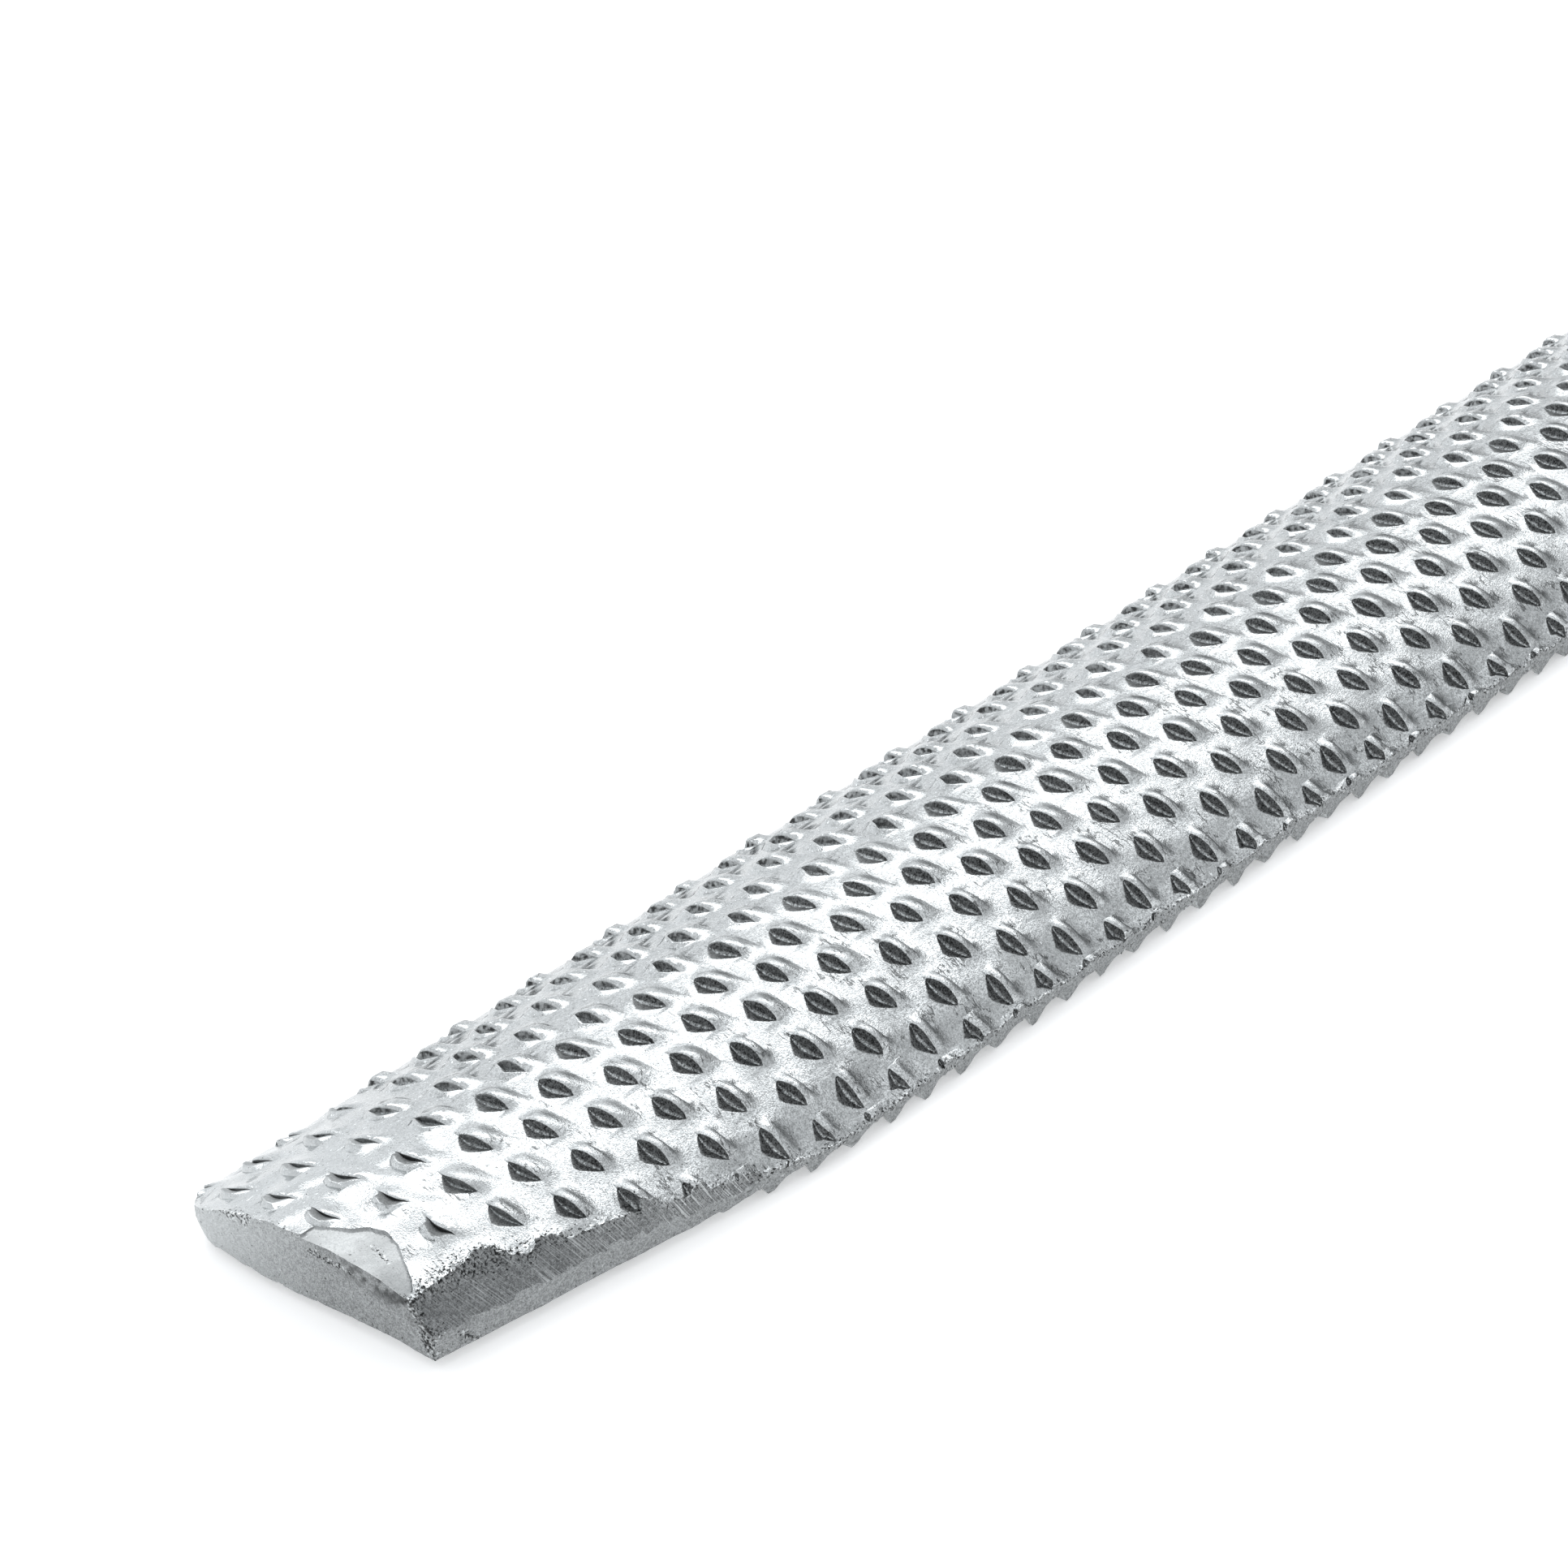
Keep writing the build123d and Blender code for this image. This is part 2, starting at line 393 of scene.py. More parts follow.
# %% Flat tooth and bare place
flat_tooth_pitch = 5.9 * MM
flat_row_step = 1.25 * MM
flat_lines = tooth_lines(
    1.2, (-1.0, -0.62, 0.0, 0.62, 1.0), tip=(-1.0, 0.0), lean=0.0, rim=((0.0, 0.0, 0.0),),
    face=((0.0, -0.22, -0.20), (0.0, -0.02, 0.50)),
    behind=((0.14, 0.90, 1.1, 0.0, 2), (0.52, 0.80, 1.1, 0.0, 2), (1.30, 0.16, 1.1, 0.0, 2)),
    fall=0.45,
)
flat_tile = tooth_tile(
    "flat_tooth", flat_tooth_pitch / 2, 2 * flat_row_step, 1.1 * MM, flat_lines
)
mark(flat_tile, flat_lines, "punched", {2: 0.11, 3: 0.11}, 1)
mark(flat_tile, flat_lines, "crease", {}, 1)
bare_tile = bpy.data.objects.new("bare_place", crown_tile.data.copy())
set_points(bare_tile, points_of(crown_tile) * (1, 1, 0))
for name in ("punched", "crease"):
    unmarked = [0.0] * len(bare_tile.data.vertices)
    bare_tile.data.attributes[name].data.foreach_set("value", unmarked)

# %% [markdown]
# ## Punching a face
#
# The teeth stand in rows along the blade, each row half a pitch behind its neighbours, so the
# places fit together like bricks. Each place gets a copy of its tile with a height of its own,
# and the copies are joined and welded along their borders.

# %% Copy the tooth over a face
punch_hand = random.Random(7)
highest_punch, lowest_punch = 1.1, 0.88
skin_end, skin_start = 3.0 * MM, -3.5 * MM


def punched_skin(choose, name, pitch, step, shift, first, lead, reach):
    """Copies the tile choose(x, s) to every place of a face, out to `reach` on both sides.

    pitch and step: from tooth to tooth along and across. shift: of the rows, in steps. first:
    x of the first station. lead: how far each row lies ahead of the one before it.
    """
    copies = []
    station = -1
    while True:
        x = first + station * pitch / 2
        if x > toothed_length + skin_end:
            break
        toothed = x < toothed_length - 1.0 * MM
        for row in range(-20, 21):
            s = (row + shift) * step
            if (row + station) % 2 or abs(s) > reach + step:
                continue
            copy = bpy.data.objects.new(name, choose(x, s).data.copy())
            copy.location = (x, s, 0)
            copy.scale.z = punch_hand.uniform(lowest_punch, highest_punch) if toothed else 0
            bpy.context.scene.collection.objects.link(copy)
            copies.append(copy)
        station += 1
    skin = only(*copies)
    bpy.ops.object.join()
    bpy.ops.object.transform_apply(location=True, rotation=True, scale=True)
    points = points_of(skin)
    points[:, 0] += lead * points[:, 1] / step
    set_points(skin, points)
    edit(skin)
    bpy.ops.mesh.remove_doubles(threshold=0.01 * MM)
    for place, away in (
        ((0, -reach, 0), (0, -1, 0)),
        ((0, reach, 0), (0, 1, 0)),
        ((skin_start, 0, 0), (-1, 0, 0)),
        ((toothed_length + skin_end / 2, 0, 0), (1, 0, 0)),
    ):
        bpy.ops.mesh.select_all(action="SELECT")
        bpy.ops.mesh.bisect(plane_co=place, plane_no=away, clear_outer=True, threshold=1e-6)
    bpy.ops.object.mode_set(mode="OBJECT")
    skin.name = name
    print(name, "has", len(copies), "places")
    return skin


# %% [markdown]
# ## Which tooth goes where
#
# x runs along the blade from its point, and s across it, from the near side (negative) to the
# far side. The skins are punched wider than the blade, because the edges are ground later.

# %% Punch both faces
bare_length, bare_near, bare_far = 3.7 * MM, -6.5 * MM, 0.6 * MM
near_rows, edge_rows, far_rows = -4.0 * MM, -11.0 * MM, 2.0 * MM
worn_rows, worn_slant = 7.5 * MM, 0.45
stock = 2.0 * MM


def round_choice(x, s):
    if x < bare_length and bare_near < s < bare_far:
        return bare_tile
    if x < worn_rows + worn_slant * s:
        return worn_tile
    if s < near_rows:
        return edge_tile if s < edge_rows else near_tile
    return far_tile if s > far_rows else crown_tile


round_skin = punched_skin(
    round_choice, "round_skin", tooth_pitch, row_step, shift=0, first=-0.8 * MM,
    lead=-0.1 * MM, reach=half_width + stock + 1.4 * MM,
)
flat_skin = punched_skin(
    lambda x, s: flat_tile, "flat_skin", flat_tooth_pitch, flat_row_step, shift=-0.5,
    first=-1.4 * MM, lead=0.0, reach=half_width + stock,
)
for tile in (crown_tile, near_tile, edge_tile, worn_tile, far_tile, bare_tile, flat_tile):
    bpy.data.objects.remove(tile)
print("points of both skins:", len(points_of(round_skin)), len(points_of(flat_skin)))

# %% [markdown]
# ## Uneven work and wear
#
# Hand punching is never quite even, so slow waves move the flat skins a little. The teeth near
# the point are worn down among soft swellings. What would stand higher than the tallest tooth
# is eased down, so the blade keeps its size.

# %% Weather the skins
tooth_height = 0.65 * MM
hollow = 0.2 * MM
worn_length = 15.0 * MM
drift_waves = ((0.22 * MM, 5 * MM, 0), (0.06 * MM, 1.5 * MM, 4))
swellings = ((0.10 * MM, 1.3 * MM, 8), (0.16 * MM, 2.4 * MM, 9))


def waves(points, size, seed):
    """Smooth random values from -1 to 1, one for each point, that change over `size`."""
    shift = Vector((seed * 17.3, seed * 5.1, seed * 9.7))
    scaled = points / size
    return np.array([noise.noise(Vector(p) + shift) for p in scaled])


def wave_moves(points, size, seed):
    """A small random move in x, y and z for each point."""
    return np.stack([waves(points, size, seed + axis) for axis in range(3)], 1)


def weather(skin, face_seed, highest, wear):
    """Makes a flat skin uneven, up to `highest`, and with `wear` 1 wears it near the point."""
    points = points_of(skin)
    flat = points * (1, 1, 0)
    worn = wear * np.clip((worn_length - points[:, 0]) / (0.6 * worn_length), 0, 1)
    worn = np.clip(worn * (1 + 0.6 * waves(flat, 4 * MM, face_seed + 7)), 0, 1)
    for axis in (0, 1):
        for size, length, seed in drift_waves:
            points[:, axis] += size * waves(flat, length, face_seed + seed + axis)
    points[:, 0] -= 0.3 * MM * worn * np.clip(points[:, 2] / (0.3 * MM), 0, 1)
    points[:, 2] *= (1 - 0.4 * worn) * (1 + 0.25 * waves(flat, 7 * MM, face_seed + 2))
    points[:, 2] += 0.03 * MM * waves(flat, 2.2 * MM, face_seed + 3)
    for size, length, seed in swellings:
        points[:, 2] += size * worn * waves(flat, length, face_seed + seed)
    knee = 0.75 * highest
    over = np.maximum(points[:, 2] - knee, 0) / (highest - knee)
    points[:, 2] = np.minimum(points[:, 2], knee) + (highest - knee) * np.tanh(over)
    set_points(skin, points)


weather(round_skin, 1, tooth_height, 1)
weather(flat_skin, 11, tooth_height + hollow, 0)
print("tallest tooth, mm:", round(points_of(round_skin)[:, 2].max() / MM, 2))

# %% [markdown]
# ## Bending the skins onto the blade
#
# The round skin is wrapped over the crown, whose height changes along the blade, so no single
# bend would do, and each point is placed in code. The outer rows crowd toward the edges, and
# behind the facet the near edge droops. The flat skin is turned over and set below, without
# the hooks that the grinding at the point took off.

# %% Wrap the skins
far_crowding = 0.35 * MM
near_crowding = 0.60 * MM
droop_along = mm(14, 21, 32, 42)
edge_droop = mm(0, 0.6, 0.6, 0.3)


def smooth_step(value, low, high):
    share = np.clip((value - low) / (high - low), 0, 1)
    return share * share * (3 - 2 * share)


def wrap_round(skin):
    points = points_of(skin)
    x, s, lift = points.T
    crowding = far_crowding * np.clip((s - 10.8 * MM) / (1.3 * MM), 0, 1)
    crowding -= near_crowding * np.clip((-s - 11.6 * MM) / (0.8 * MM), 0, 1)
    margin = smooth_step(-s, 9.0 * MM, 11.6 * MM)
    s = s - crowding
    droop = np.interp(x, droop_along, edge_droop) * margin
    lift = np.where(lift > 0, lift * (1 - 0.6 * droop / MM), lift) - droop
    radius = crown_radius(x)
    angle = s / radius
    y = (radius + lift) * np.sin(angle)
    z = crown_at(x) - radius + (radius + lift) * np.cos(angle)
    set_points(skin, np.stack([x + point_x, y, z + flat_face_z], 1))


def wrap_flat(skin):
    points = points_of(skin)
    x, s, lift = points.T
    ground_away = smooth_step(-s, 4 * MM, 7 * MM) * smooth_step(-x, -26 * MM, -16 * MM)
    lift = lift * (1 - ground_away) + hollow * ground_away
    set_points(skin, np.stack([x + point_x, s, flat_face_z + hollow - lift], 1))


wrap_round(round_skin)
wrap_flat(flat_skin)
print("top of the crown, mm:", round(points_of(round_skin)[:, 2].max() / MM, 2))

# %% [markdown]
# ## From skins to a solid
#
# A Boolean needs closed meshes, so each skin's border is extruded straight down and filled:
# the round skin becomes the blank, and the flat one a die under it. Taking the die from the
# blank leaves steel between the two punched faces.

# %% Close a skin downward
def draw_out_border(item, way):
    """Extrudes the open border of a mesh, and leaves the new border selected."""
    edit(item)
    bpy.ops.mesh.region_to_loop()
    bpy.ops.mesh.extrude_edges_move(TRANSFORM_OT_translate={"value": way})


def fill_and_close():
    """Fills the selected border, and turns all faces outward."""
    bpy.ops.mesh.edge_face_add()
    bpy.ops.mesh.select_all(action="SELECT")
    bpy.ops.mesh.normals_make_consistent(inside=False)
    bpy.ops.object.mode_set(mode="OBJECT")


def close_down(skin, bottom):
    draw_out_border(skin, (0, 0, -1 * MM))
    mesh = bmesh.from_edit_mesh(skin.data)
    for vertex in mesh.verts:
        if vertex.select:
            vertex.co.z = bottom
    bmesh.update_edit_mesh(skin.data)
    fill_and_close()
    return skin


def cut(tool, operation, finish):
    """Works on the blade with one tool, which leaves the tool's own steel behind."""
    tool.data.materials.append(finishes[finish])
    only(blade)
    step = blade.modifiers.new(operation.lower(), "BOOLEAN")
    step.operation = operation
    step.object = tool
    step.solver = "MANIFOLD"
    step.material_mode = "TRANSFER"
    bpy.ops.object.modifier_apply(modifier=step.name)
    bpy.data.objects.remove(tool)
    print(operation.lower(), "->", len(blade.data.polygons), "faces")


blade = close_down(round_skin, -4 * MM)
die = close_down(flat_skin, -6 * MM)
blade.name = "rasp_blade"

# %% [markdown]
# ## Grinding the outline
#
# The blank is ground to its outline through the outer teeth, which leaves the hooks under the
# near edge. The grinding tool is a prism with rough walls, and where a rough wall meets a
# tooth it leaves the broken, burred line that the real edge has.

# %% The outline's path
point_skew = math.tan(math.radians(5.7))
corner_radius = 3.0 * MM
ground_depth = 3.9 * MM
ground_length = 27.0 * MM


def outline_points():
    """Plan of the blade, counter-clockwise from above, in drawn x and y."""
    turn = math.acos(-Vector((point_skew, -1)).normalized().x)
    inset = corner_radius * math.tan(turn / 2)
    far_corner = Vector((-half_width * point_skew, half_width))
    centre = Vector((far_corner.x + inset, half_width - corner_radius))
    corner = [
        centre + corner_radius * Vector((math.cos(math.radians(a)), math.sin(math.radians(a))))
        for a in np.linspace(90, 90 + math.degrees(turn), 14)
    ]
    near_corner = ((half_width - ground_depth) * point_skew, ground_depth - half_width)
    others = (near_corner, (ground_length, -half_width), (toothed_length, -half_width))
    return [Vector((toothed_length, half_width)), *corner, *(Vector(place) for place in others)]


def evenly(path, spacing):
    """Points along a closed path, each corner kept, in steps of about `spacing`."""
    found = []
    for here, ahead in zip(path, path[1:] + path[:1]):
        at_end = max(here.x, ahead.x) < 2 * MM
        count = max(1, round((ahead - here).length / (spacing / 2 if at_end else spacing)))
        found += [here.lerp(ahead, n / count) for n in range(count)]
    return found


plan = evenly(outline_points(), 0.3 * MM)
print("points in the outline:", len(plan))

# %% Build the rough-walled tool
def rough_prism(name, plan, bottom, top, layers, roughness):
    """A prism over a plan, its walls moved inward by roughness(points)."""
    bpy.ops.mesh.primitive_circle_add(vertices=len(plan), radius=1)
    tool = bpy.context.object
    tool.name = name
    set_points(tool, np.array([(p.x, p.y, bottom) for p in plan]))
    edit(tool)
    for _ in range(layers):
        bpy.ops.mesh.extrude_edges_move(
            TRANSFORM_OT_translate={"value": (0, 0, (top - bottom) / layers)}
        )
    bpy.ops.mesh.edge_face_add()
    pick(tool, lambda vertex: vertex.co.z < bottom + 0.01 * MM)
    fill_and_close()
    normals = points_of(tool, "normal") * (1, 1, 0)
    normals /= np.maximum(np.linalg.norm(normals, axis=1, keepdims=True), 1e-9)
    points = points_of(tool)
    points += normals * np.minimum(roughness(points), 0)[:, None]
    set_points(tool, points + blade_place)
    return tool


def outline_roughness(points):
    """Rough all round, most where teeth stick out, and undercut below the far corner."""
    x, y, z = points.T
    fine = waves(points, 0.45 * MM, 21)
    coarse = waves(points, 1.6 * MM, 22)
    fade = 0.5 * MM
    burred = np.clip((z - 0.7 * MM) / fade, 0, 1) * np.clip((2.4 * MM - z) / fade, 0, 1)
    side = np.abs(y) > 7.6 * MM
    offset = 0.03 * fine + 0.05 * coarse - 0.06 + side * burred * (0.12 * fine + 0.10 * coarse)
    far_corner = smooth_step(y, 4 * MM, 8.5 * MM) * smooth_step(-x, -9 * MM, -2 * MM)
    low_down = np.clip((1.9 * MM - z) / (2.5 * MM), 0, 0.98)
    return MM * (offset - 0.9 * far_corner * (1 - np.sqrt(1 - low_down**2)))


outline = rough_prism("outline", plan, -1 * MM, 6 * MM, 26, outline_roughness)
print("points in the grinding tool:", len(outline.data.vertices))

# %% [markdown]
# ## The ground facet
#
# At the point the near edge was ground back above its lower strip, leaning inward. The tool is
# a fine grid with waves in it, made solid by extruding its border away from the blade. How far
# the wheel went in was read from the photograph along the facet's upper and lower lines: a
# positive offset leaves steel standing.

# %% Facet tool
lean = math.radians(25)
run = Vector((ground_length, -ground_depth, 0)).normalized()
inward = Vector((-run.y, run.x, 0))
facet_up = inward * math.sin(lean) + Vector((0, 0, math.cos(lean)))
facet_foot = Vector((0, ground_depth - half_width, edge_height))
below_foot = 1.2 * MM
upper_along = mm(-2.0, 0.2, 2.6, 4.6, 5.6, 7.6, 8.8, 11.1, 14.3, 16.3, 18.3, 22.0)
upper_offset = mm(-0.2, -0.25, -0.65, -0.9, -1.1, 0.0, -0.45, 0.0, 0.15, 0.45, 0.7, 0.7)
lower_along = mm(-3, 3, 8, 12, 16, 20, 24, 30)
lower_offset = mm(0, 0.06, 0, -0.06, -0.2, -0.28, -0.2, 0.5)


def wavy_tool(name, foot, across, upward, size, counts, depth, reach):
    """A solid whose inner side is a wavy grid from `foot`, drawn out by `reach` mm."""
    bpy.ops.mesh.primitive_grid_add(x_subdivisions=counts[0], y_subdivisions=counts[1], size=1)
    tool = bpy.context.object
    tool.name = name
    points = points_of(tool)
    along = (points[:, 0] + 0.5) * size[0]
    up = (points[:, 1] + 0.5) * size[1]
    out = across.cross(upward)
    place = np.array(foot) + np.outer(along, across) + np.outer(up, upward)
    place += np.outer(depth(along, up), out)
    set_points(tool, place + blade_place)
    draw_out_border(tool, out * reach * MM)
    fill_and_close()
    print(name, "has", len(tool.data.vertices), "points")
    return tool


def facet_depth(along, up):
    where = np.stack([along, up, 0 * up], 1)
    along = along - 5 * MM
    up = up - below_foot
    rough = 0.03 * waves(where, 0.45 * MM, 31) + 0.03 * waves(where, 1.2 * MM, 32)
    share = np.clip(up / (2.2 * MM), 0, 1)
    high = np.interp(along, upper_along, upper_offset)
    low = np.interp(along, lower_along, lower_offset)
    low = low + 0.08 * MM * waves(where, 1.0 * MM, 33)
    return low * (1 - share) + np.where(high > 0, high, high * share**0.5) * share + MM * rough


# The grid starts 5 mm before the point
facet = wavy_tool(
    "facet_tool", facet_foot - run * 5 * MM - facet_up * below_foot, run, facet_up,
    (34 * MM, 9.7 * MM), (150, 46), facet_depth, reach=12,
)

# %% [markdown]
# ## The flattened patch
#
# Beside the cut end the crown was hammered flat inside an outline of its own. The tool follows
# the crown a little below its surface there, and rises steeply outside the outline, so only
# the patch is cut. Waves make its level and its border uneven.

# %% Patch tool
patch_foot = (-2.2 * MM, -7.1 * MM, 0)
patch_outline = np.array([
    (-2.5, 1.5), (1.0, 1.5), (2.05, -0.4), (2.7, -0.9), (3.05, -1.7), (2.9, -2.9), (2.3, -4.3),
    (1.2, -5.9), (-2.5, -5.9),
]) * MM


def beside(points, start, stop):
    """Distance of each point from the line between two places."""
    way = stop - start
    share = np.clip((points - start) @ way / (way @ way), 0, 1)
    return np.linalg.norm(points - start - share[:, None] * way, axis=1)


def outside_patch(x, y):
    """Distance of each place from the patch's outline, negative inside it."""
    nearest = np.full(len(x), 1.0)
    inside = np.zeros(len(x), bool)
    for here, ahead in zip(patch_outline, np.roll(patch_outline, -1, axis=0)):
        nearest = np.minimum(nearest, beside(np.stack([x, y], 1), here, ahead))
        crossing = (here[1] > y) != (ahead[1] > y)
        at = here[0] + (y - here[1]) * (ahead[0] - here[0]) / (ahead[1] - here[1] or 1)
        inside ^= crossing & (x < at)
    return np.where(inside, -nearest, nearest)


def patch_level(along, up):
    x, y = along + patch_foot[0], up + patch_foot[1]
    where = np.stack([x, y, 0 * x], 1)
    radius = crown_radius(x)
    face = crown_at(x) - radius + np.sqrt(radius**2 - y**2)
    apart = outside_patch(x, y) + 0.10 * MM * waves(where, 0.7 * MM, 42)
    level = face - 0.13 * MM + 0.04 * MM * waves(where, 1.6 * MM, 41)
    return level + 0.9 * MM * smooth_step(apart, -0.12 * MM, 0.25 * MM)


patch = wavy_tool(
    "patch_tool", patch_foot, Vector((1, 0, 0)), Vector((0, 1, 0)), (6.0 * MM, 9.4 * MM),
    (54, 84), patch_level, reach=5,
)

# %% [markdown]
# ## Which steel where
#
# A Boolean gives the faces that a tool cuts the tool's own material. So the materials are made
# first, still plain, and each tool carries the steel it leaves behind.

# %% Name the finishes and cut
finishes = {
    finish: bpy.data.materials.new(finish) for finish in
    ("punched_steel", "sanded_steel", "ground_steel", "flattened_steel", "heel_steel")
}
blade.data.materials.append(finishes["punched_steel"])
cut(die, "DIFFERENCE", "punched_steel")
cut(outline, "INTERSECT", "sanded_steel")
cut(facet, "DIFFERENCE", "ground_steel")
cut(patch, "DIFFERENCE", "flattened_steel")

# %% [markdown]
# ## Heel, shoulders and tang
#
# Behind the last teeth the bar stays bare, then it is drawn in at the shoulders and forged
# down to a tapered tang. It is modelled as a smith draws it out: one ring of points in the
# bar's section, extruded station by station, and each new ring fitted to its place.

# %% Draw out the heel
shoulder_length = 9.0 * MM
tang_length = 60.0 * MM
tang_root_width, tang_end_width = 10.5 * MM, 4.0 * MM
tang_root_height, tang_end_height = 3.6 * MM, 2.2 * MM
tang_lift = 0.8 * MM
edge_break = 0.5 * MM
root = blade_length + shoulder_length
end = root + tang_length


def heel_half_width(x):
    """Half the width: a smooth shoulder, then an even taper."""
    if x <= blade_length:
        return half_width
    if x >= root:
        return np.interp(x, (root, end), (tang_root_width / 2, tang_end_width / 2))
    t = (x - blade_length) / shoulder_length
    taper = (tang_end_width - tang_root_width) / 2 / tang_length * shoulder_length
    blend = t * t * (3 - 2 * t)
    return half_width + (tang_root_width / 2 - half_width) * blend + taper * (t**3 - t**2)


def heel_section(x):
    """The ring of points at x: over the top from the near side, then back along the bottom."""
    tops = (crown_height, tang_lift / 2 + tang_root_height, tang_lift + tang_end_height)
    top = np.interp(x, (blade_length, root, end), tops)
    bottom = np.interp(x, (blade_length, root, end), (0, tang_lift / 2, tang_lift))
    broken = np.interp(x, (blade_length, root), (0.12 * MM, edge_break))
    width = heel_half_width(x)
    radius = float(crown_radius(blade_length))
    across = np.linspace(-1, 1, 25) * (width - broken)
    across = np.concatenate([[-width], across, [width]])
    corner = np.maximum(np.abs(across) - (width - broken), 0)
    arc = crown_height - radius + np.sqrt(radius**2 - across**2)
    upper = np.minimum(arc, top) - corner
    under = np.array([width, width - broken, broken - width, -width])
    lower = bottom + np.maximum(np.abs(under) - (width - broken), 0)
    return np.concatenate([
        np.stack([0 * across + x, across, upper], 1), np.stack([0 * under + x, under, lower], 1)
    ])


stations = [toothed_length - 0.6 * MM, toothed_length, 193.5 * MM, blade_length]
stations += [blade_length + shoulder_length * n / 14 for n in range(1, 15)]
stations += [root + tang_length * n / 24 for n in range(1, 25)]
x, y, z = heel_section(stations[0]).T
bpy.ops.mesh.primitive_circle_add(vertices=len(x), radius=1)
heel = bpy.context.object
heel.name = "heel"
# The first ring is a little smaller, so it ends inside the blade
middle_height = 2.2 * MM
set_points(heel, np.stack([x, y * 0.985, (z - middle_height) * 0.96 + middle_height], 1))
edit(heel)
for x, before in zip(stations[1:], stations):
    bpy.ops.mesh.extrude_edges_move(TRANSFORM_OT_translate={"value": (x - before, 0, 0)})
    mesh = bmesh.from_edit_mesh(heel.data)
    drawn = [vertex for vertex in mesh.verts if vertex.select]
    drawn.sort(key=lambda vertex: vertex.index)
    for vertex, place in zip(drawn, heel_section(x)):
        vertex.co = place
    bmesh.update_edit_mesh(heel.data)
bpy.ops.mesh.edge_face_add()
pick(heel, lambda vertex: vertex.co.x < stations[0] + 0.01 * MM)
fill_and_close()
points = points_of(heel)
forged = np.clip((points[:, 0] - blade_length) / (6 * MM), 0, 1)[:, None]
points += 0.10 * MM * wave_moves(points, 7 * MM, 51) * forged * (0, 1, 1)
set_points(heel, points + blade_place)
cut(heel, "UNION", "heel_steel")

# %% [markdown]
# ## Cleaning the mesh
#
# Where a rough wall only grazes a tooth, a Boolean can leave crumbs smaller than a grain of
# sand. Everything that isn't joined to the blade is deleted.

# %% Delete crumbs
topmost = points_of(blade)[:, 2].argmax()
edit(blade)
pick(blade, lambda vertex: vertex.index == topmost)
bpy.ops.mesh.select_linked()
bpy.ops.mesh.select_all(action="INVERT")
crumbs = sum(vertex.select for vertex in bmesh.from_edit_mesh(blade.data).verts)
bpy.ops.mesh.delete(type="VERT")
bpy.ops.object.mode_set(mode="OBJECT")
only(blade)
bpy.ops.object.shade_smooth_by_angle(angle=math.radians(40))
print("points in crumbs:", crumbs)

# %% [markdown]
# ## Burrs and dirt
#
# Where a ground face meets a punched one the steel is torn, and dirt sits in the tear, with
# painted highlights (glints) among it. A value called `burr` tells the materials how near each
# vertex lies to such a line, and the cracks and dirty places of the photograph are added to it.

# %% Where finishes meet
def lines_between(first, second):
    """The vertices where two finishes meet."""
    names = [slot.material.name for slot in blade.material_slots]
    pair = {names.index(first), names.index(second)}
    touching = {}
    for face in blade.data.polygons:
        if face.material_index in pair:
            for vertex in face.vertices:
                touching.setdefault(vertex, set()).add(face.material_index)
    return [vertex for vertex, found in touching.items() if found == pair]


def nearness(chosen, reach):
    """1 at the chosen vertices, falling to 0 at `reach` from them."""
    tree = KDTree(len(chosen))
    for number, vertex in enumerate(chosen):
        tree.insert(blade.data.vertices[vertex].co, number)
    tree.balance()
    return np.array([
        max(0.0, 1 - tree.find(vertex.co)[2] / reach) for vertex in blade.data.vertices
    ])


points = points_of(blade) - blade_place
x, y, z = points.T
near_side, above_flat_face = y < -7 * MM, z > 0.2 * MM
ground_reach, sanded_reach = 0.9 * MM, 0.5 * MM
round_ground = nearness(lines_between("punched_steel", "ground_steel"), ground_reach)
end_ground = nearness(lines_between("sanded_steel", "ground_steel"), ground_reach)
round_sanded = nearness(lines_between("punched_steel", "sanded_steel"), sanded_reach)
burr = round_ground * np.interp(x, mm(2, 7, 12), (0.9, 0.75, 0.5))
burr = np.maximum(burr, end_ground * np.interp(x, mm(0.6, 2.0), (1.0, 0.0)))
burr = np.maximum(burr, round_sanded * np.where(near_side, 0.6, 0.35) * above_flat_face)
print("vertices near a ground edge:", int((burr > 0).sum()))

# %% Cracks and dirty places
# Each from one place to another, its radius, all in mm, and its strength
dirty_places = (
    ((1.75, -5.5, 3.6), (1.9, -5.8, 3.5), 0.45, 1.0),
    ((5.2, -6.9, 3.2), (5.6, -7.3, 3.0), 0.7, 0.9),
    ((3.6, -5.9, 3.5), (6.0, -6.7, 3.2), 1.5, 0.7),
    ((2.4, -7.7, 1.1), (3.5, -7.9, 0.0), 0.3, 1.0),
    ((0.0, 0.9, 3.4), (0.2, -1.9, 3.3), 0.3, 0.9),
    ((0.0, 1.2, 5.0), (0.0, -0.2, 4.7), 0.5, 0.7),
    ((-0.6, 6.8, 3.3), (-0.5, 5.4, 3.6), 0.7, 0.8),
    ((0.5, -6.3, 3.0), (0.8, -7.3, 0.4), 0.6, 0.9),
    ((1.85, -2.0, 4.2), (1.65, -3.6, 4.0), 0.25, 0.9),
)
for start, stop, radius, strength in dirty_places:
    apart = beside(points, np.array(start) * MM, np.array(stop) * MM)
    burr = np.maximum(burr, strength * np.clip(1.3 * (1 - apart / (radius * MM)), 0, 1))
burr_values = blade.data.attributes.new("burr", "FLOAT", "POINT").data
burr_values.foreach_set("value", burr.astype(np.float32))
print("vertices with dirt:", int((burr > 0).sum()))

# %% [markdown]
# ## Chips
#
# Along the torn lines small chips broke out. The vertices beside the lines are moved by fine
# waves, along the blade and up or down only, so the blade keeps its width.

